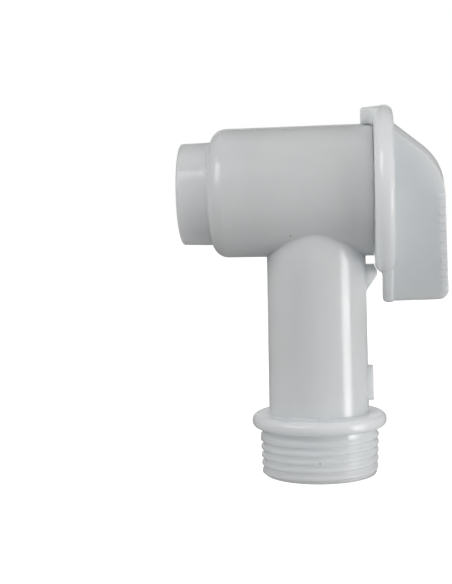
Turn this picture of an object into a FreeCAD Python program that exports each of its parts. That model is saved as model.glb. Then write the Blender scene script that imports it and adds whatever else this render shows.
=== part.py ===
"""Drum tap: a moulded polyethylene body with a tapered pipe thread, and a quarter-turn plug.

Frame: millimetres, origin at the open end of the inlet thread on the inlet's axis, +Z up the stem.
The barrel's axis is parallel to X at barrel_axis_height: the handle is at +X and the spout at -X.
"""
import FreeCAD
import Part
import math
import os
import Sketcher
from FreeCAD import Placement, Rotation, Vector
from types import SimpleNamespace

X_WAY = Vector(1, 0, 0)
Y_WAY = Vector(0, 1, 0)
EDGE_SLACK = 0.02
PARALLEL_SLACK = 0.001
LEAST_CUT = 50.0
QUARTER_TURN = 90.0
FULL_TURN = 360.0

SIZES = {
    # inlet: the end radius, pitch and taper of 3/4-14 NPT, moulded with shallow, blunt ridges
    "thread_end_radius": 13.015,
    "thread_pitch": 1.814,
    "thread_depth": 0.6,
    "thread_crest_flat": 0.5,
    "thread_flank_degrees": 30.0,
    "thread_taper_degrees": 1.79,
    "thread_taper_run": 32.0,
    "thread_length": 8.9,
    "thread_lead_in": 0.5,
    "thread_run_in": 1.13,
    "thread_groove_over": 0.1,
    "neck_radius": 12.85,
    # the stem's bore, and the narrower throat from it through the barrel's wall
    "inlet_bore_radius": 8.6,
    "inlet_bore_end": 48.0,
    "throat_radius": 7.0,
    # flange that the gasket of the drum's bung closes on
    "flange_underside": 10.7,
    "flange_thickness": 3.0,
    "flange_radius": 15.05,
    "flange_rim_round": 1.3,
    # stem between the flange and the barrel
    "stem_radius_low": 11.2,
    "stem_radius_high": 10.9,
    "stem_foot_round": 0.6,
    "gate_height": 20.3,
    "gate_radius": 4.0,
    "gate_face": 12.3,
    "gate_round": 0.3,
    # lug on the handle side of the stem, under the disc's rim
    "lug_thickness": 3.4,
    "lug_top": 46.8,
    "lug_shoulder": 12.85,
    "lug_shoulder_low": 46.4,
    "lug_tip": 13.5,
    "lug_tip_high": 45.2,
    "lug_tip_low": 44.5,
    "lug_foot": 40.6,
    "lug_root": 2.0,
    # barrel and spout
    "barrel_axis_height": 63.2,
    "barrel_mouth": 12.8,
    "barrel_radius_mouth": 14.55,
    "barrel_radius_end": 14.3,
    "barrel_end": 22.8,
    "barrel_end_round": 3.4,
    "barrel_bore_radius": 12.0,
    "barrel_bore_end": 20.9,
    "mouth_lead_in": 0.5,
    "spout_end": 29.6,
    "spout_radius_base": 11.6,
    "spout_radius_tip": 11.3,
    "spout_tip_round": 0.5,
    "spout_bore_radius": 9.3,
    # retaining groove in the barrel, and the snap bead of the plug that runs in it
    "snap_place": 12.2,
    "snap_groove_width": 2.2,
    "snap_groove_depth": 0.4,
    "snap_bead_width": 1.6,
    "snap_bead_height": 0.35,
    "snap_bead_slope": 0.3,
    "cut_over": 1.0,
    # plug
    "plug_clearance": 0.05,
    "plug_end_gap": 0.2,
    "plug_bore_radius": 8.9,
    "plug_head": 11.0,
    "plug_head_round": 1.5,
    "port_radius": 6.5,
    # seals
    "seal_place_handle": 10.5,
    "seal_place_spout": 17.6,
    "seal_section": 1.8,
    "seal_groove_width": 2.1,
    "seal_groove_depth": 1.8,
    "seal_clearance": 0.03,
    # handle disc
    "disc_back": 13.0,
    "disc_radius": 18.5,
    "disc_back_round": 2.2,
    "disc_front": 17.3,
    "disc_front_round": 1.8,
    "scoop_floor": 15.0,
    "scoop_radius": 16.3,
    "scoop_corner": 3.2,
    "scoop_round": 1.7,
    "scoop_lip_round": 0.3,
    # tail of the disc, which carries on under the lever
    "tail_width": 5.4,
    "tail_root": 17.0,
    "tail_root_back": 13.45,
    "tail_bend": 21.3,
    "tail_back": 14.87,
    "tail_end": 29.5,
    "tail_corner_round": 2.2,
    "tail_heel_round": 1.0,
    "tail_edge_round": 0.5,
    # wing across the disc, which ends as the lever
    "wing_thickness": 3.8,
    "wing_foot": 16.0,
    "wing_root": 16.2,
    "wing_root_place": 16.2,
    "wing_brow": 28.2,
    "wing_brow_place": 5.6,
    "wing_brow_round": 15.0,
    "lever_crest": 30.1,
    "lever_length": 29.1,
    "lever_toe_rise": 0.6,
    "lever_toe_round": 2.6,
    "crest_line_place": 2.2,
    "crest_line_width": 0.4,
    "crest_line_depth": 0.25,
    "lever_end_radius": 2.0,
    "lever_end_rise": 0.9,
    "tooth_radius": 0.78,
    "tooth_pitch": 2.05,
    "tooth_count": 13,
    "tooth_length": 1.5,
    "tooth_first": 1.2,
    "tooth_inset": 0.1,
    "tooth_sink": 0.25,
    # hook on the disc's rim, over the barrel's mouth
    "hook_end": 10.3,
    "hook_inner_radius": 14.85,
    "hook_outer_radius": 18.0,
    "hook_root": 14.9,
    "hook_root_radius": 18.4,
    "hook_half_angle": 16.0,
    "hook_angle": 60.0,
    "hook_round": 0.7,
    "hook_root_round": 1.6,
    # raised direction mark on the disc
    "mark_radius": 13.0,
    "mark_height": 0.35,
    "mark_width": 0.9,
    "mark_length": 2.6,
    "mark_count": 5,
    "mark_step": 17.0,
    "mark_first_angle": 141.0,
    "arrow_size": 2.6,
    # how far the lever is turned from the stem's direction at rest
    "rest_turn": 30.0,
}


class Size:
    """A length that keeps its formula, so that a sum of sizes stays bound to the sheet."""

    def __init__(self, formula, number):
        self.formula = formula
        self.number = number

    def __add__(self, other):
        return combined(self, "+", other, self.number + number_of(other))

    def __sub__(self, other):
        return combined(self, "-", other, self.number - number_of(other))

    def __mul__(self, other):
        return combined(self, "*", other, self.number * number_of(other))

    def __truediv__(self, other):
        return combined(self, "/", other, self.number / number_of(other))

    def __neg__(self):
        return Size("-1 * (%s)" % self.formula, -self.number)


def number_of(item):
    return item.number if isinstance(item, Size) else item


def formula_of(item):
    return item.formula if isinstance(item, Size) else repr(item)


def combined(left, sign, right, number):
    return Size("(%s %s %s)" % (left.formula, sign, formula_of(right)), number)


doc = FreeCAD.newDocument("drum_tap")
sheet = doc.addObject("Spreadsheet::Sheet", "Sizes")
for row, (alias, number) in enumerate(SIZES.items(), start=1):
    sheet.set("A%d" % row, alias)
    sheet.set("B%d" % row, str(number))
    sheet.setAlias("B%d" % row, alias)
doc.recompute()
S = SimpleNamespace(**{alias: Size("Sizes." + alias, number) for alias, number in SIZES.items()})


def bind(item, path, size):
    """Bind a property to its size on the sheet, or set it where it is a plain number."""
    if isinstance(size, Size):
        item.setExpression(path, size.formula)
    else:
        setattr(item, path, size)


def new_body(label):
    body = doc.addObject("PartDesign::Body", label)
    body.Label = label
    doc.recompute()
    return body


def origin_plane(body, role):
    return [feature for feature in body.Origin.OriginFeatures if feature.Role == role][0]


def new_sketch(body, name, role, rotation, offset):
    """Attach a sketch to an origin plane, rotated within its own frame and moved off the plane."""
    sketch = body.newObject("Sketcher::SketchObject", name)
    sketch.AttachmentSupport = (origin_plane(body, role), [""])
    sketch.MapMode = "FlatFace"
    sketch.AttachmentOffset = Placement(Vector(), rotation)
    if offset:
        sketch.setExpression("AttachmentOffset.Base.z", offset.formula)
    return sketch


def polygon(body, name, role, corners, rotation=Rotation(), offset=None, axis=None, arcs=None):
    """Sketch a closed outline whose corners are all placed by the sheet.

    axis adds a construction line between two points, for a revolution about something else.
    arcs gives the centre and the radius of each side that is round, by the side's number.
    """
    sketch = new_sketch(body, name, role, rotation, offset)
    count = len(corners)
    points = [Vector(number_of(across), number_of(up), 0) for across, up in corners]
    for index in range(count):
        start, end = points[index], points[(index + 1) % count]
        if arcs and index in arcs:
            centre, size = arcs[index]
            sketch.addGeometry(round_side(start, end, centre, size.number), False)
            radius = sketch.addConstraint(Sketcher.Constraint("Radius", index, size.number))
            sketch.setExpression("Constraints[%d]" % radius, size.formula)
        else:
            sketch.addGeometry(Part.LineSegment(start, end), False)
    for index in range(count):
        sketch.addConstraint(Sketcher.Constraint("Coincident", index, 2, (index + 1) % count, 1))
    for index, corner in enumerate(corners):
        place(sketch, index, 1, corner)
    if axis:
        ends = [Vector(number_of(across), number_of(up), 0) for across, up in axis]
        line = sketch.addGeometry(Part.LineSegment(*ends), True)
        place(sketch, line, 1, axis[0])
        place(sketch, line, 2, axis[1])
    return sketch


def round_side(start, end, centre, radius):
    """Draw the anticlockwise arc from start to end about a centre."""
    middle = Vector(number_of(centre[0]), number_of(centre[1]), 0)
    angles = [math.atan2(point.y - middle.y, point.x - middle.x) for point in (start, end)]
    return Part.ArcOfCircle(Part.Circle(middle, Vector(0, 0, 1), radius), *angles)


def place(sketch, geometry, end, point):
    """Hold one end of a sketched line at a point that the sheet gives."""
    for kind, size in zip(("DistanceX", "DistanceY"), point):
        number = number_of(size)
        constraint = Sketcher.Constraint(kind, -1, 1, geometry, end, number)
        index = sketch.addConstraint(constraint)
        if isinstance(size, Size):
            sketch.setExpression("Constraints[%d]" % index, size.formula)


def finish(body, feature, sketch=None):
    if sketch:
        sketch.Visibility = False
    body.Tip = feature
    doc.recompute()
    return feature


def revolve(body, name, sketch, axis, kind="Revolution", angle=FULL_TURN):
    """Turn a sketch about one of its axes, to add to the body or, as a Groove, to cut it."""
    feature = body.newObject("PartDesign::" + kind, name)
    feature.Profile = sketch
    feature.ReferenceAxis = (sketch, [axis])
    if angle != FULL_TURN:
        feature.Midplane = True
    bind(feature, "Angle", angle)
    return finish(body, feature, sketch)


def pad(body, name, sketch, length, centred=False, kind="Pad", backward=False, through=False):
    feature = body.newObject("PartDesign::" + kind, name)
    feature.Profile = sketch
    feature.Midplane = centred
    feature.Reversed = backward
    if through:
        feature.Type = "ThroughAll"
    else:
        bind(feature, "Length", length)
    return finish(body, feature, sketch)


def round_edges(body, name, radius, wanted):
    """Fillet the edges of the body so far that a test picks."""
    base = body.Tip
    names = ["Edge%d" % n for n, edge in enumerate(base.Shape.Edges, start=1) if wanted(edge)]
    if not names:
        raise RuntimeError("no edge found for " + name)
    feature = body.newObject("PartDesign::Fillet", name)
    feature.Base = (base, names)
    bind(feature, "Radius", radius)
    return finish(body, feature)


def near(one, other):
    return abs(number_of(one) - number_of(other)) < EDGE_SLACK


def ring_edge(radius, along, axis):
    """Pick the circle of a radius at a place along X or Z."""
    def wanted(edge):
        curve = edge.Curve
        if not isinstance(curve, Part.Circle) or not near(curve.Radius, radius):
            return False
        return near(getattr(curve.Center, axis), along)
    return wanted


def straight_edge(direction, *points):
    """Pick straight edges along a direction that pass through one of the points' places."""
    def wanted(edge):
        if not isinstance(edge.Curve, Part.Line):
            return False
        run = edge.tangentAt(edge.FirstParameter)
        if run.cross(direction).Length > PARALLEL_SLACK:
            return False
        start = edge.Vertexes[0].Point
        flat = start - direction * start.dot(direction)
        return any((flat - (point - direction * point.dot(direction))).Length < EDGE_SLACK
                   for point in points)
    return wanted


def taper_radius(height):
    """Crest radius of the pipe thread, which widens 1 in 16 on its diameter."""
    return S.thread_end_radius + height / S.thread_taper_run


def make_tap_body():
    body = new_body("tap_body")
    thread_top = taper_radius(S.thread_length)
    flange_top = S.flange_underside + S.flange_thickness
    stem = polygon(body, "StemOutline", "XZ_Plane", [
        (0, 0),
        (S.thread_end_radius - S.thread_lead_in, 0),
        (S.thread_end_radius, S.thread_lead_in),
        (thread_top, S.thread_length),
        (S.neck_radius, S.thread_length + S.thread_lead_in),
        (S.neck_radius, S.flange_underside),
        (S.flange_radius, S.flange_underside),
        (S.flange_radius, flange_top),
        (S.stem_radius_low, flange_top),
        (S.stem_radius_high, S.barrel_axis_height),
        (0, S.barrel_axis_height),
    ])
    revolve(body, "Stem", stem, "V_Axis")
    cut_thread(body)
    round_edges(body, "FlangeRim", S.flange_rim_round, lambda edge:
                ring_edge(S.flange_radius, S.flange_underside, "z")(edge)
                or ring_edge(S.flange_radius, flange_top, "z")(edge))
    round_edges(body, "StemFoot", S.stem_foot_round,
                ring_edge(S.stem_radius_low, flange_top, "z"))
    add_barrel(body)
    add_gate(body)
    add_lug(body)
    cut_bores(body)
    return body


def cut_thread(body):
    """Cut the helical groove of the thread, from below the open end up to the neck."""
    start = -S.thread_run_in
    half_crest = (S.thread_pitch - S.thread_crest_flat) / 2
    slope = math.tan(math.radians(S.thread_flank_degrees.number))
    half_root = half_crest - S.thread_depth * slope
    half_over = half_crest + S.thread_groove_over * slope
    inner = taper_radius(start) - S.thread_depth
    outer = taper_radius(start) + S.thread_groove_over
    groove = polygon(body, "ThreadGroove", "XZ_Plane", [
        (inner, start - half_root),
        (outer, start - half_over),
        (outer, start + half_over),
        (inner, start + half_root),
    ])
    helix = body.newObject("PartDesign::SubtractiveHelix", "Thread")
    helix.Profile = groove
    helix.ReferenceAxis = (groove, ["V_Axis"])
    helix.Mode = "pitch-height-angle"
    bind(helix, "Pitch", S.thread_pitch)
    bind(helix, "Height", S.thread_length - start - S.thread_lead_in)
    bind(helix, "Angle", S.thread_taper_degrees)
    solid_before = body.Shape.Volume
    finish(body, helix, groove)
    check_cut(body, solid_before)


def check_cut(body, solid_before):
    """Stop if the last feature took nothing away, which raises no error by itself."""
    if body.Shape.Volume > solid_before - LEAST_CUT:
        raise RuntimeError("%s cut nothing" % body.Tip.Label)


def add_barrel(body):
    height = S.barrel_axis_height
    axis = [(0, height), (S.barrel_mouth, height)]
    barrel = polygon(body, "BarrelOutline", "XZ_Plane", [
        (-S.barrel_end, height),
        (S.barrel_mouth, height),
        (S.barrel_mouth, height + S.barrel_radius_mouth),
        (-S.barrel_end, height + S.barrel_radius_end),
    ], axis=axis)
    revolve(body, "Barrel", barrel, "Axis0")
    round_edges(body, "BarrelEnd", S.barrel_end_round,
                ring_edge(S.barrel_radius_end, -S.barrel_end, "x"))
    spout_root = S.barrel_end - S.barrel_end_round
    spout = polygon(body, "SpoutOutline", "XZ_Plane", [
        (-S.spout_end, height),
        (-spout_root, height),
        (-spout_root, height + S.spout_radius_base),
        (-S.spout_end, height + S.spout_radius_tip),
    ], axis=axis)
    revolve(body, "Spout", spout, "Axis0")
    round_edges(body, "SpoutTip", S.spout_tip_round,
                ring_edge(S.spout_radius_tip, -S.spout_end, "x"))


def add_gate(body):
    """Add the round boss low on the stem, under the handle."""
    height = S.gate_height
    boss = polygon(body, "GateOutline", "XZ_Plane", [
        (0, height),
        (S.gate_face, height),
        (S.gate_face, height + S.gate_radius),
        (0, height + S.gate_radius),
    ], axis=[(0, height), (S.gate_face, height)])
    revolve(body, "Gate", boss, "Axis0")
    round_edges(body, "GateEdge", S.gate_round, ring_edge(S.gate_radius, S.gate_face, "x"))


def add_lug(body):
    lug = polygon(body, "LugOutline", "XZ_Plane", [
        (S.stem_radius_high - S.lug_root, S.lug_top),
        (S.lug_shoulder, S.lug_top),
        (S.lug_shoulder, S.lug_shoulder_low),
        (S.lug_tip, S.lug_tip_high),
        (S.lug_tip, S.lug_tip_low),
        (S.stem_radius_high, S.lug_foot),
        (S.stem_radius_high - S.lug_root, S.lug_foot),
    ])
    pad(body, "Lug", lug, S.lug_thickness, centred=True)


def cut_bores(body):
    height = S.barrel_axis_height
    axis = [(0, height), (S.barrel_mouth, height)]
    groove_near = -S.snap_place + S.snap_groove_width / 2
    groove_far = -S.snap_place - S.snap_groove_width / 2
    bore = polygon(body, "BarrelBoreOutline", "XZ_Plane", [
        (-S.spout_end - S.cut_over, height),
        (S.barrel_mouth + S.cut_over, height),
        (S.barrel_mouth + S.cut_over, height + S.barrel_bore_radius + S.mouth_lead_in),
        (S.barrel_mouth, height + S.barrel_bore_radius + S.mouth_lead_in),
        (S.barrel_mouth - S.mouth_lead_in, height + S.barrel_bore_radius),
        (groove_near, height + S.barrel_bore_radius),
        (groove_near - S.snap_groove_depth, height + S.barrel_bore_radius + S.snap_groove_depth),
        (groove_far + S.snap_groove_depth, height + S.barrel_bore_radius + S.snap_groove_depth),
        (groove_far, height + S.barrel_bore_radius),
        (-S.barrel_bore_end, height + S.barrel_bore_radius),
        (-S.barrel_bore_end, height + S.spout_bore_radius),
        (-S.spout_end - S.cut_over, height + S.spout_bore_radius),
    ], axis=axis)
    revolve(body, "BarrelBore", bore, "Axis0", kind="Groove")
    inlet = polygon(body, "InletBoreOutline", "XZ_Plane", [
        (0, -S.cut_over),
        (S.inlet_bore_radius, -S.cut_over),
        (S.inlet_bore_radius, S.inlet_bore_end),
        (S.throat_radius, S.inlet_bore_end),
        (S.throat_radius, height),
        (0, height),
    ])
    revolve(body, "InletBore", inlet, "V_Axis", kind="Groove")


def make_handle_plug():
    """Build the plug and its handle, which are one moulding, with the lever along -Z."""
    body = new_body("handle_plug")
    plug_radius = S.barrel_bore_radius - S.plug_clearance
    plug_end = -S.barrel_bore_end + S.plug_end_gap
    back_centre = (S.disc_back + S.disc_back_round, S.disc_radius - S.disc_back_round)
    front_centre = (S.disc_front - S.disc_front_round, S.disc_radius - S.disc_front_round)
    outline = polygon(body, "PlugOutline", "XZ_Plane", [
        (plug_end, S.plug_bore_radius),
        (S.plug_head, S.plug_bore_radius),
        (S.plug_head, 0),
        (S.disc_front, 0),
        (S.disc_front, front_centre[1]),
        (front_centre[0], S.disc_radius),
        (back_centre[0], S.disc_radius),
        (S.disc_back, back_centre[1]),
        (S.disc_back, plug_radius),
        (plug_end, plug_radius),
    ], arcs={
        4: (front_centre, S.disc_front_round),
        6: (back_centre, S.disc_back_round),
    })
    revolve(body, "Plug", outline, "H_Axis")
    round_edges(body, "PlugHead", S.plug_head_round,
                ring_edge(S.plug_bore_radius, S.plug_head, "x"))
    cut_scoops(body)
    add_tail(body)
    add_wing(body)
    add_teeth(body)
    add_hook(body)
    cut_seal_grooves(body, plug_radius)
    add_snap_bead(body, plug_radius)
    cut_port(body)
    add_marks(body)
    body.Placement.Rotation = Rotation(X_WAY, S.rest_turn.number)
    body.setExpression("Placement.Base.z", S.barrel_axis_height.formula)
    return body


def add_tail(body):
    """Carry the disc on past its rim, as the plate that the lever stands on."""
    outline = polygon(body, "TailOutline", "XZ_Plane", [
        (S.tail_root_back, -S.tail_root),
        (S.tail_back, -S.tail_bend),
        (S.tail_back, -S.tail_end),
        (S.disc_front, -S.tail_end),
        (S.disc_front, -S.tail_root),
    ])
    pad(body, "Tail", outline, S.tail_width, centred=True)
    half = S.tail_width.number / 2
    round_edges(body, "TailCorners", S.tail_corner_round, straight_edge(
        X_WAY, *[Vector(0, side * half, -S.tail_end.number) for side in (1, -1)]))
    round_edges(body, "TailHeel", S.tail_heel_round, lambda edge:
                flat_edge(S.tail_back)(edge) and low_edge(S.tail_bend + S.tail_edge_round)(edge))
    round_edges(body, "TailFront", S.tail_edge_round, lambda edge:
                flat_edge(S.disc_front)(edge) and low_edge(S.disc_radius)(edge))


def low_edge(limit):
    """Pick the edges that reach further down the lever than a limit."""
    def wanted(edge):
        return min(vertex.Point.z for vertex in edge.Vertexes) < -limit.number
    return wanted


def add_wing(body):
    """Add the wing across the disc: it rises from the rim, bends at the brow and ends as lever."""
    toe = -S.lever_length + S.lever_toe_rise
    outline = polygon(body, "WingOutline", "XZ_Plane", [
        (S.wing_foot, S.wing_root_place),
        (S.wing_root, S.wing_root_place),
        (S.wing_brow, S.wing_brow_place),
        (S.lever_crest, toe),
        (S.wing_foot, -S.lever_length),
    ])
    pad(body, "Wing", outline, S.wing_thickness, centred=True)
    for name, radius, across, up in (
            ("WingBrow", S.wing_brow_round, S.wing_brow, S.wing_brow_place),
            ("LeverToe", S.lever_toe_round, S.lever_crest, toe)):
        corner = Vector(across.number, 0, up.number)
        round_edges(body, name, radius, straight_edge(Y_WAY, corner))
    half = S.wing_thickness / 2
    shoulder = -S.lever_length + S.lever_end_rise
    wide = S.wing_thickness
    low = -S.lever_length - S.wing_thickness
    centre_up = shoulder.number + math.sqrt(S.lever_end_radius.number ** 2 - half.number ** 2)
    end = polygon(body, "LeverEndOutline", "YZ_Plane", [
        (-half, shoulder),
        (half, shoulder),
        (wide, shoulder),
        (wide, low),
        (-wide, low),
        (-wide, shoulder),
    ], offset=S.disc_front, arcs={0: ((0, centre_up), S.lever_end_radius)})
    pad(body, "LeverEnd", end, None, kind="Pocket", backward=True, through=True)
    cut_crest_line(body)


def crest_slope():
    """How much the lever's crest rises for each millimetre along the lever."""
    return (S.lever_crest - S.wing_brow) / (S.wing_brow_place + S.lever_length - S.lever_toe_rise)


def cut_crest_line(body):
    """Cut the fine line across the crest, where the teeth begin."""
    crest = S.wing_brow + (S.wing_brow_place + S.crest_line_place) * crest_slope()
    outline = polygon(body, "CrestLineOutline", "XZ_Plane", [
        (crest - S.crest_line_depth, -S.crest_line_place),
        (crest + S.crest_line_depth, -S.crest_line_place + S.crest_line_width),
        (crest + S.crest_line_depth, -S.crest_line_place - S.crest_line_width),
    ])
    pad(body, "CrestLine", outline, S.wing_thickness * 2, centred=True, kind="Pocket")


def cut_scoops(body):
    """Cut the two hollows of the disc's face, one each side of the wing, and round their edges."""
    for half_turn, name in ((0, "ScoopLeft"), (180, "ScoopRight")):
        pad(body, name, scoop_sketch(body, name + "Outline", half_turn), None,
            kind="Pocket", backward=True, through=True)
    round_edges(body, "ScoopFloors", S.scoop_round, flat_edge(S.scoop_floor))
    round_edges(body, "ScoopLips", S.scoop_lip_round, is_scoop_lip)


def flat_edge(along):
    """Pick the edges that lie in a plane across X."""
    def wanted(edge):
        return all(near(vertex.Point.x, along) for vertex in edge.Vertexes)
    return wanted


def is_scoop_lip(edge):
    """Pick the edges where a hollow's wall meets the disc's flat face."""
    inside = all(math.hypot(vertex.Point.y, vertex.Point.z) < S.scoop_radius.number + EDGE_SLACK
                 for vertex in edge.Vertexes)
    return flat_edge(S.disc_front)(edge) and inside and len(edge.Vertexes) > 1


def scoop_sketch(body, name, half_turn):
    """Sketch the D of a hollow: a chord along the wing, the rim's arc and two round corners."""
    rotation = Rotation(Vector(0, 0, 1), half_turn)
    sketch = new_sketch(body, name, "YZ_Plane", rotation, S.scoop_floor)
    chord = S.wing_thickness.number / 2
    corner = S.scoop_corner.number
    rim = S.scoop_radius.number
    reach = math.sqrt((rim - corner) ** 2 - (chord + corner) ** 2)
    lean = math.atan2(reach, chord + corner)
    normal = Vector(0, 0, 1)
    low = Part.Circle(Vector(chord + corner, -reach, 0), normal, corner)
    high = Part.Circle(Vector(chord + corner, reach, 0), normal, corner)
    around = Part.Circle(Vector(), normal, rim)
    sketch.addGeometry([
        Part.LineSegment(Vector(chord, reach, 0), Vector(chord, -reach, 0)),
        Part.ArcOfCircle(low, math.pi, 2 * math.pi - lean),
        Part.ArcOfCircle(around, -lean, lean),
        Part.ArcOfCircle(high, lean, math.pi),
    ], False)
    for side in range(4):
        sketch.addConstraint(Sketcher.Constraint("Tangent", side, 2, (side + 1) % 4, 1))
    sketch.addConstraint(Sketcher.Constraint("Vertical", 0))
    sketch.addConstraint(Sketcher.Constraint("Coincident", 2, 3, -1, 1))
    sketch.addConstraint(Sketcher.Constraint("Equal", 1, 3))
    for constraint, size in (
            (Sketcher.Constraint("DistanceX", -1, 1, 0, 1, chord), S.wing_thickness / 2),
            (Sketcher.Constraint("Radius", 1, corner), S.scoop_corner),
            (Sketcher.Constraint("Radius", 2, rim), S.scoop_radius)):
        index = sketch.addConstraint(constraint)
        sketch.setExpression("Constraints[%d]" % index, size.formula)
    return sketch


def add_teeth(body):
    """Add the grip teeth along both sides of the lever's crest."""
    crest = S.wing_brow + (S.wing_brow_place + S.tooth_first) * crest_slope()
    toe = -S.lever_length + S.lever_toe_rise
    line = new_sketch(body, "ToothLine", "XZ_Plane", Rotation(), None)
    ends = [(S.wing_brow, S.wing_brow_place), (S.lever_crest, toe)]
    line.addGeometry(Part.LineSegment(*[Vector(a.number, b.number, 0) for a, b in ends]), True)
    place(line, 0, 1, ends[0])
    place(line, 0, 2, ends[1])
    for side, name in ((1, "Left"), (-1, "Right")):
        tooth = body.newObject("PartDesign::AdditiveCylinder", "Tooth" + name)
        bind(tooth, "Radius", S.tooth_radius)
        bind(tooth, "Height", S.tooth_length)
        tooth.Placement.Rotation = Rotation(Y_WAY, QUARTER_TURN)
        tooth.setExpression("Placement.Base.x", (crest - S.tooth_length - S.tooth_inset).formula)
        tooth.setExpression("Placement.Base.y", ((S.wing_thickness / 2 - S.tooth_sink) * side).formula)
        tooth.setExpression("Placement.Base.z", (-S.tooth_first).formula)
        finish(body, tooth)
        row = body.newObject("PartDesign::LinearPattern", "Teeth" + name)
        row.Originals = [tooth]
        row.Direction = (line, ["Axis0"])
        bind(row, "Length", S.tooth_pitch * (S.tooth_count - 1))
        bind(row, "Occurrences", S.tooth_count)
        finish(body, row)


def add_hook(body):
    """Add the hook that reaches back from the disc's rim over the barrel's mouth."""
    outline = polygon(body, "HookOutline", "XZ_Plane", [
        (S.hook_end, S.hook_inner_radius),
        (S.hook_root, S.hook_inner_radius),
        (S.hook_root, S.hook_root_radius),
        (S.hook_end, S.hook_outer_radius),
    ], rotation=Rotation(X_WAY, S.hook_angle.number - QUARTER_TURN))
    revolve(body, "Hook", outline, "H_Axis", angle=S.hook_half_angle * 2)
    round_edges(body, "HookEdge", S.hook_round,
                ring_edge(S.hook_outer_radius, S.hook_end, "x"))
    round_edges(body, "HookRoot", S.hook_root_round, is_hook_root)


def is_hook_root(edge):
    """Pick the edges where the hook's two cheeks meet the disc."""
    middle = edge.valueAt((edge.FirstParameter + edge.LastParameter) / 2)
    for point in [middle] + [vertex.Point for vertex in edge.Vertexes]:
        turn = math.degrees(math.atan2(point.z, point.y)) - S.hook_angle.number
        if not near(abs(turn), S.hook_half_angle) or point.x < S.disc_back.number - EDGE_SLACK:
            return False
    return True


def cut_seal_grooves(body, plug_radius):
    for name, middle in (("HandleSeal", S.seal_place_handle), ("SpoutSeal", -S.seal_place_spout)):
        half = S.seal_groove_width / 2
        outline = polygon(body, name + "Outline", "XZ_Plane", [
            (middle - half, plug_radius - S.seal_groove_depth),
            (middle + half, plug_radius - S.seal_groove_depth),
            (middle + half, plug_radius + S.cut_over),
            (middle - half, plug_radius + S.cut_over),
        ])
        revolve(body, name + "Groove", outline, "H_Axis", kind="Groove")


def add_snap_bead(body, plug_radius):
    """Add the bead that snaps into the barrel's groove and keeps the plug in."""
    half = S.snap_bead_width / 2
    inside = plug_radius - S.snap_bead_height
    outline = polygon(body, "SnapBeadOutline", "XZ_Plane", [
        (-S.snap_place - half, inside),
        (-S.snap_place + half, inside),
        (-S.snap_place + half, plug_radius),
        (-S.snap_place + half - S.snap_bead_slope, plug_radius + S.snap_bead_height),
        (-S.snap_place - half + S.snap_bead_slope, plug_radius + S.snap_bead_height),
        (-S.snap_place - half, plug_radius),
    ])
    revolve(body, "SnapBead", outline, "H_Axis")


def cut_port(body):
    """Cut the port in the plug's wall, on the lever's side."""
    sketch = new_sketch(body, "PortOutline", "XY_Plane", Rotation(), None)
    sketch.addGeometry(Part.Circle(Vector(), Vector(0, 0, 1), S.port_radius.number), False)
    sketch.addConstraint(Sketcher.Constraint("Coincident", 0, 3, -1, 1))
    radius = sketch.addConstraint(Sketcher.Constraint("Radius", 0, S.port_radius.number))
    sketch.setExpression("Constraints[%d]" % radius, S.port_radius.formula)
    solid_before = body.Shape.Volume
    pad(body, "Port", sketch, None, kind="Pocket", through=True)
    check_cut(body, solid_before)


def add_marks(body):
    """Add the raised dashes and the arrowhead on the disc: a plain sign of the turning way."""
    floor = S.scoop_floor - S.mark_height
    rise = S.mark_height * 2
    half_width = S.mark_width / 2
    half_length = S.mark_length / 2
    dash = polygon(body, "DashOutline", "YZ_Plane", [
        (S.mark_radius - half_width, -half_length),
        (S.mark_radius + half_width, -half_length),
        (S.mark_radius + half_width, half_length),
        (S.mark_radius - half_width, half_length),
    ], rotation=Rotation(Vector(0, 0, 1), S.mark_first_angle.number), offset=floor)
    first = pad(body, "Dash", dash, rise)
    dashes = body.newObject("PartDesign::PolarPattern", "Dashes")
    dashes.Originals = [first]
    dashes.Axis = (dash, ["N_Axis"])
    bind(dashes, "Angle", S.mark_step * (S.mark_count - 1))
    bind(dashes, "Occurrences", S.mark_count)
    finish(body, dashes)
    arrow_angle = S.mark_first_angle.number + S.mark_step.number * S.mark_count.number
    arrow = polygon(body, "ArrowOutline", "YZ_Plane", [
        (S.mark_radius - S.arrow_size / 2, -S.arrow_size / 2),
        (S.mark_radius + S.arrow_size / 2, -S.arrow_size / 2),
        (S.mark_radius, S.arrow_size / 2),
    ], rotation=Rotation(Vector(0, 0, 1), arrow_angle), offset=floor)
    pad(body, "Arrow", arrow, rise)


def make_seal(label, along):
    """Make an O-ring, drawn as the barrel's bore holds it."""
    ring = doc.addObject("Part::Torus", label)
    ring.Label = label
    bind(ring, "Radius2", S.seal_section / 2)
    bind(ring, "Radius1", S.barrel_bore_radius - S.seal_clearance - S.seal_section / 2)
    ring.Placement.Rotation = Rotation(Y_WAY, QUARTER_TURN)
    ring.setExpression("Placement.Base.x", along.formula)
    ring.setExpression("Placement.Base.z", S.barrel_axis_height.formula)
    return ring


def check(pieces):
    for item in doc.Objects:
        if "Invalid" in item.State or "Error" in item.State:
            raise RuntimeError("%s has failed: %s" % (item.Label, item.State))
    for piece in pieces:
        if piece.Shape.isNull() or not piece.Shape.isValid():
            raise RuntimeError("the shape of %s is not valid" % piece.Label)


def main():
    pieces = [
        make_tap_body(),
        make_handle_plug(),
        make_seal("handle_end_seal", S.seal_place_handle),
        make_seal("spout_end_seal", -S.seal_place_spout),
    ]
    doc.recompute()
    check(pieces)
    os.makedirs("parts", exist_ok=True)
    for piece in pieces:
        piece.Shape.exportStep("parts/%s.step" % piece.Label)
        box = piece.Shape.BoundBox
        print("%-16s %8.1f mm3  solids %d  x %.2f..%.2f  y %.2f..%.2f  z %.2f..%.2f" % (
            piece.Label, piece.Shape.Volume, len(piece.Shape.Solids), box.XMin, box.XMax,
            box.YMin, box.YMax, box.ZMin, box.ZMax))


main()
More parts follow.
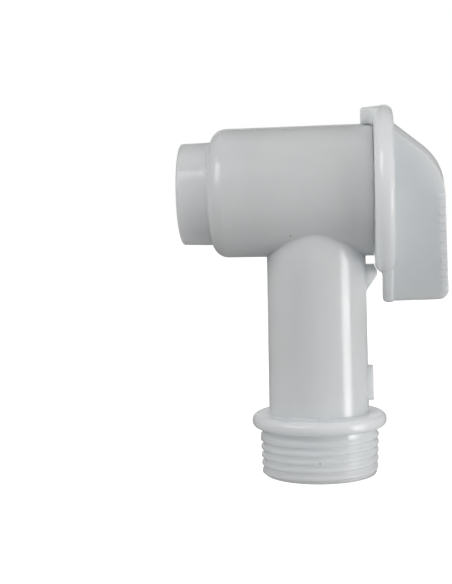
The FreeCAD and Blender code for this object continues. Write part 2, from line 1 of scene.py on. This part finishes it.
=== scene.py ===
"""Drum tap in natural polyethylene: materials, floor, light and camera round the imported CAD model."""
import math

import bpy
from mathutils import Matrix, Vector


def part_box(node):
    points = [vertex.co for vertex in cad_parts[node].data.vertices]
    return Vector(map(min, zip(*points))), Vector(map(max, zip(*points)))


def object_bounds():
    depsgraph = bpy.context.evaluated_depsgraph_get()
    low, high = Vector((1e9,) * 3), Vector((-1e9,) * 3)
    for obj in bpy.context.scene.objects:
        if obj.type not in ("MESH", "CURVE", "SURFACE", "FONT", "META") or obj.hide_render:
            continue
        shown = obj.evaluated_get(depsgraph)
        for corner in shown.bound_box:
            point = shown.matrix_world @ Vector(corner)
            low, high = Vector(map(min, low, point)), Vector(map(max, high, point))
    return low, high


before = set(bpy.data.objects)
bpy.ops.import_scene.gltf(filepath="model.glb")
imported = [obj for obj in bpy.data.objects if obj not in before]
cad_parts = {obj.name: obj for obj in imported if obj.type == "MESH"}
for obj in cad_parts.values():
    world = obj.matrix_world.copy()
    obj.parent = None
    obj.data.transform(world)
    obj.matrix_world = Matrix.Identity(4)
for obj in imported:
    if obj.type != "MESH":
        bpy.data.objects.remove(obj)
cad_low, cad_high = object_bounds()

MIDDLE = (cad_low + cad_high) / 2
FLOOR_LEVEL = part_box("tap_body")[0].z

# ---------------------------------------------------------------- camera
SENSOR_LONG_SIDE = 36.0
LENS = 73.0
DISTANCE = 0.2669
YAW, PITCH, ROLL = 6.35, 4.23, 1.48
TARGET = Vector((-0.0204, 0.0, 0.0411))
CLIP_START, CLIP_END = 0.01, 10.0


def direction(azimuth, elevation):
    """Unit vector away from the object, from degrees: azimuth 0 is -Y, 90 is +X."""
    azimuth, elevation = math.radians(azimuth), math.radians(elevation)
    return Vector((
        math.sin(azimuth) * math.cos(elevation),
        -math.cos(azimuth) * math.cos(elevation),
        math.sin(elevation)))


def make_camera():
    camera = bpy.data.objects.new("camera", bpy.data.cameras.new("camera"))
    bpy.context.collection.objects.link(camera)
    camera.data.sensor_width = SENSOR_LONG_SIDE
    camera.data.lens = LENS
    camera.data.clip_start = CLIP_START
    camera.data.clip_end = CLIP_END
    back = direction(YAW, PITCH)
    turn = back.to_track_quat("Z", "Y").to_matrix()
    roll = Matrix.Rotation(math.radians(-ROLL), 3, "Z")
    camera.matrix_world = Matrix.Translation(TARGET + back * DISTANCE) @ (turn @ roll).to_4x4()
    bpy.context.scene.camera = camera


# ---------------------------------------------------------------- materials
# A texture's scale is a count per metre; reliefs, depths and radii are metres.
POLYETHYLENE = (0.88, 0.913, 0.937)
POLYETHYLENE_IOR = 1.51
SCATTER_DEPTH = 0.006
CLOUD_SCALE = 70.0
CLOUD_CONTRAST = 0.03
SPECK_SCALE = 190.0
SPECK_COLOUR = (0.30, 0.29, 0.28, 1)
ROUGHNESS_SCALE = 160.0
ROUGHNESS = (0.15, 0.23)
EDGE_ROUNDING = 0.0006
EDGE_SAMPLES = 6
WAVE_SCALE, WAVE_RELIEF = 75.0, 0.00004
GRAIN_SCALE, GRAIN_RELIEF = 1400.0, 0.000002
SEAL_COLOURS = ((0.012, 0.012, 0.012, 1), (0.03, 0.03, 0.03, 1))
SEAL_ROUGHNESS = (0.4, 0.65)
# a speck's radius in cells of its texture, and the share of the cells that hold one
SPECK_SIZE = 0.045
SPECK_SHARE = 0.10
# most values of a noise texture lie between these
NOISE_RANGE = (0.3, 0.7)
WHOLE_RANGE = (0.0, 1.0)
NOISE_DETAIL = 3.0
WAVE_DETAIL = 1.0
# places of the two colours and the result among a colour Mix node's sockets
MIX_FIRST, MIX_SECOND, MIX_RESULT = 6, 7, 2


class Nodes:
    """A short way to add and join the shader nodes of a new material."""

    def __init__(self, name):
        self.material = bpy.data.materials.new(name)
        self.material.use_nodes = True
        self.tree = self.material.node_tree
        self.shader = self.tree.nodes["Principled BSDF"]
        self.place = self.add("ShaderNodeTexCoord").outputs["Object"]

    def add(self, kind, **settings):
        """Add a node, and set each setting as its property or, failing that, its input."""
        node = self.tree.nodes.new(kind)
        for key, value in settings.items():
            if hasattr(node, key):
                setattr(node, key, value)
            else:
                node.inputs[key.replace("_", " ")].default_value = value
        return node

    def join(self, output, socket):
        self.tree.links.new(output, socket)

    def noise(self, scale, detail=NOISE_DETAIL):
        node = self.add("ShaderNodeTexNoise", Scale=scale, Detail=detail)
        self.join(self.place, node.inputs["Vector"])
        return node.outputs["Fac"]

    def ramp(self, value, colours, span):
        """Turn a value into a colour between two, over a span of the value."""
        node = self.add("ShaderNodeValToRGB")
        for element, colour, position in zip(node.color_ramp.elements, colours, span):
            element.color = colour
            element.position = position
        self.join(value, node.inputs["Fac"])
        return node.outputs["Color"]

    def spread(self, value, target, span=NOISE_RANGE):
        """Map a span of a value to a target range."""
        node = self.add("ShaderNodeMapRange", From_Min=span[0], From_Max=span[1],
                        To_Min=target[0], To_Max=target[1])
        self.join(value, node.inputs["Value"])
        return node.outputs["Result"]

    def bump(self, height, relief, normal):
        node = self.add("ShaderNodeBump", Distance=relief)
        self.join(height, node.inputs["Height"])
        self.join(normal, node.inputs["Normal"])
        return node.outputs["Normal"]

    def product(self, one, other):
        node = self.add("ShaderNodeMath", operation="MULTIPLY")
        self.join(one, node.inputs[0])
        self.join(other, node.inputs[1])
        return node.outputs["Value"]


def speckled(nodes, colour):
    """Put a few small specks of dust and burnt plastic on a colour."""
    cells = nodes.add("ShaderNodeTexVoronoi", Scale=SPECK_SCALE)
    nodes.join(nodes.place, cells.inputs["Vector"])
    chance = nodes.add("ShaderNodeSeparateColor")
    nodes.join(cells.outputs["Color"], chance.inputs["Color"])
    chosen = nodes.add("ShaderNodeMath", operation="LESS_THAN")
    chosen.inputs[1].default_value = SPECK_SHARE
    nodes.join(chance.outputs["Red"], chosen.inputs[0])
    spot = nodes.spread(cells.outputs["Distance"], (1.0, 0.0), (SPECK_SIZE / 2, SPECK_SIZE))
    mix = nodes.add("ShaderNodeMix", data_type="RGBA")
    mix.inputs[MIX_SECOND].default_value = SPECK_COLOUR
    nodes.join(nodes.product(chosen.outputs["Value"], spot), mix.inputs["Factor"])
    nodes.join(colour, mix.inputs[MIX_FIRST])
    return mix.outputs[MIX_RESULT]


def polyethylene(name):
    """Natural polyethylene: white, waxy and translucent, with the faint waves of a moulding."""
    nodes = Nodes(name)
    shader = nodes.shader
    dull = [part * (1 - CLOUD_CONTRAST) for part in POLYETHYLENE]
    cloud = nodes.ramp(nodes.noise(CLOUD_SCALE), ((*dull, 1), (*POLYETHYLENE, 1)), NOISE_RANGE)
    nodes.join(speckled(nodes, cloud), shader.inputs["Base Color"])
    nodes.join(nodes.spread(nodes.noise(ROUGHNESS_SCALE), ROUGHNESS), shader.inputs["Roughness"])

    shader.inputs["Subsurface Weight"].default_value = 1.0
    shader.inputs["Subsurface Radius"].default_value = (1.0, 1.0, 1.0)
    shader.inputs["Subsurface Scale"].default_value = SCATTER_DEPTH
    shader.inputs["IOR"].default_value = POLYETHYLENE_IOR

    edges = nodes.add("ShaderNodeBevel", samples=EDGE_SAMPLES, Radius=EDGE_ROUNDING)
    normal = nodes.bump(nodes.noise(WAVE_SCALE, WAVE_DETAIL), WAVE_RELIEF, edges.outputs["Normal"])
    normal = nodes.bump(nodes.noise(GRAIN_SCALE), GRAIN_RELIEF, normal)
    nodes.join(normal, shader.inputs["Normal"])
    return nodes.material


def rubber():
    """Greased black rubber of the seals."""
    nodes = Nodes("seal_rubber")
    grain = nodes.noise(GRAIN_SCALE)
    nodes.join(nodes.ramp(grain, SEAL_COLOURS, WHOLE_RANGE), nodes.shader.inputs["Base Color"])
    nodes.join(nodes.spread(grain, SEAL_ROUGHNESS), nodes.shader.inputs["Roughness"])
    smooth = nodes.add("ShaderNodeNewGeometry").outputs["Normal"]
    nodes.join(nodes.bump(grain, GRAIN_RELIEF, smooth), nodes.shader.inputs["Normal"])
    return nodes.material


def paint_nodes():
    by_node = {
        "tap_body": polyethylene("body_polyethylene"),
        "handle_plug": polyethylene("handle_polyethylene"),
    }
    seal = rubber()
    for name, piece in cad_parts.items():
        piece.data.materials.clear()
        piece.data.materials.append(by_node.get(name, seal))


# ---------------------------------------------------------------- floor
FLOOR_SIZE = 6.0
PAPER = (0.9, 0.9, 0.9, 1)
PAPER_ROUGHNESS = 0.9
PAPER_GLOW = 0.9
WHITE = (1, 1, 1, 1)


def make_floor():
    """Lay glowing white paper under the tap, kept out of the light and reflections on it."""
    bpy.ops.mesh.primitive_plane_add(size=FLOOR_SIZE, location=(0, 0, FLOOR_LEVEL))
    floor = bpy.context.object
    floor.name = "floor"
    paper = bpy.data.materials.new("floor_paper")
    paper.use_nodes = True
    shader = paper.node_tree.nodes["Principled BSDF"]
    shader.inputs["Base Color"].default_value = PAPER
    shader.inputs["Roughness"].default_value = PAPER_ROUGHNESS
    shader.inputs["Emission Color"].default_value = WHITE
    shader.inputs["Emission Strength"].default_value = PAPER_GLOW
    floor.data.materials.append(paper)
    floor.visible_diffuse = False
    floor.visible_glossy = False
    floor.visible_shadow = False


# ---------------------------------------------------------------- light
# azimuth and elevation in degrees, distance, width and height in metres, and power in watts
SOFTBOXES = {
    "front_left": (-40, 35, 0.8, 0.5, 0.5, 3.2),
    "front_low": (10, -25, 0.8, 0.5, 0.5, 0.1),
    "right_strip": (71, -7.5, 0.7, 0.25, 0.26, 1.45),
    "right_fill": (75, 20, 0.8, 0.5, 0.5, 1.2),
    "right_low": (80, -30, 0.8, 0.5, 0.5, 0.6),
    "top": (0, 88, 0.8, 0.5, 0.5, 0.25),
    "back": (185, 10, 0.8, 0.5, 0.5, 0.35),
}
# the room's grey below and above the horizon, and the height of a direction where each is reached
ROOM_GREYS = ((0.28, 0.28, 0.28, 1), (0.18, 0.18, 0.18, 1))
ROOM_SPAN = (-0.5, 0.5)


def make_softbox(name, azimuth, elevation, distance, width, height, power):
    light = bpy.data.lights.new(name, "AREA")
    light.shape = "RECTANGLE"
    light.size, light.size_y = width, height
    light.energy = power
    lamp = bpy.data.objects.new(name, light)
    bpy.context.collection.objects.link(lamp)
    back = direction(azimuth, elevation)
    lamp.location = MIDDLE + back * distance
    lamp.rotation_euler = back.to_track_quat("Z", "Y").to_euler()


def make_room():
    """Light the tap with a grey room, lighter below, and show plain white behind it."""
    world = bpy.data.worlds.new("studio")
    bpy.context.scene.world = world
    world.use_nodes = True
    nodes, join = world.node_tree.nodes, world.node_tree.links.new
    room = nodes["Background"]
    split = nodes.new("ShaderNodeSeparateXYZ")
    join(nodes.new("ShaderNodeTexCoord").outputs["Generated"], split.inputs[0])
    height = nodes.new("ShaderNodeMapRange")
    height.inputs["From Min"].default_value, height.inputs["From Max"].default_value = ROOM_SPAN
    join(split.outputs["Z"], height.inputs["Value"])
    shade = nodes.new("ShaderNodeValToRGB")
    for element, grey in zip(shade.color_ramp.elements, ROOM_GREYS):
        element.color = grey
    join(height.outputs["Result"], shade.inputs["Fac"])
    join(shade.outputs["Color"], room.inputs["Color"])
    plain = nodes.new("ShaderNodeBackground")
    plain.inputs["Color"].default_value = WHITE
    mix = nodes.new("ShaderNodeMixShader")
    join(nodes.new("ShaderNodeLightPath").outputs["Is Camera Ray"], mix.inputs["Fac"])
    join(room.outputs["Background"], mix.inputs[1])
    join(plain.outputs["Background"], mix.inputs[2])
    join(mix.outputs["Shader"], nodes["World Output"].inputs["Surface"])


make_camera()
paint_nodes()
make_floor()
for box_name, settings in SOFTBOXES.items():
    make_softbox(box_name, *settings)
make_room()
bpy.context.scene.view_settings.view_transform = "Standard"
